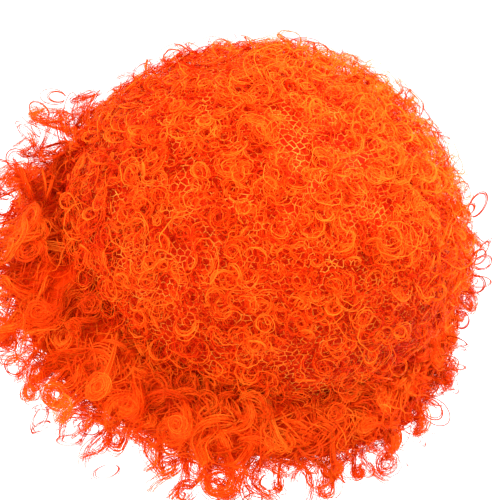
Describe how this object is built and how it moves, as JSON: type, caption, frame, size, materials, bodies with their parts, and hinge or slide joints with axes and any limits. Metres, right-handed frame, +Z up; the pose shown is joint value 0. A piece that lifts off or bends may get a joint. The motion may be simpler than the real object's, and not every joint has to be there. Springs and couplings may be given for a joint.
{
  "type": "clown wig",
  "caption": "Curly orange costume wig shown net side out: a domed net cap with short ring curls over it and long ringlets round its rim, open below for a head",
  "frame": {"origin": "the highest point of the hollow, where the crown of the head sits", "axes": "+Z up, -Y toward the face, +Y toward the nape, +X toward the wearer's left"},
  "size_m": [0.3163, 0.2678, 0.1958],
  "materials": {
    "under_hair_fibre": "crimped modacrylic fibre, pressed flat",
    "net_yarn": "knotted polyester yarn, satin",
    "rim_yarn": "two twisted polyester yarns, satin",
    "short_curl_fibre": "curled modacrylic fibre, soft gloss",
    "long_curl_fibre": "curled modacrylic fibre, soft gloss"
  },
  "bodies": {
    "root": {"under_hair": "under_hair_fibre", "net_cap": "net_yarn", "rim_thread": "rim_yarn", "short_curls": "short_curl_fibre", "long_curls_front": "long_curl_fibre", "long_curls_left": "long_curl_fibre", "long_curls_nape": "long_curl_fibre", "long_curls_right": "long_curl_fibre"}
  },
  "joints": []
}
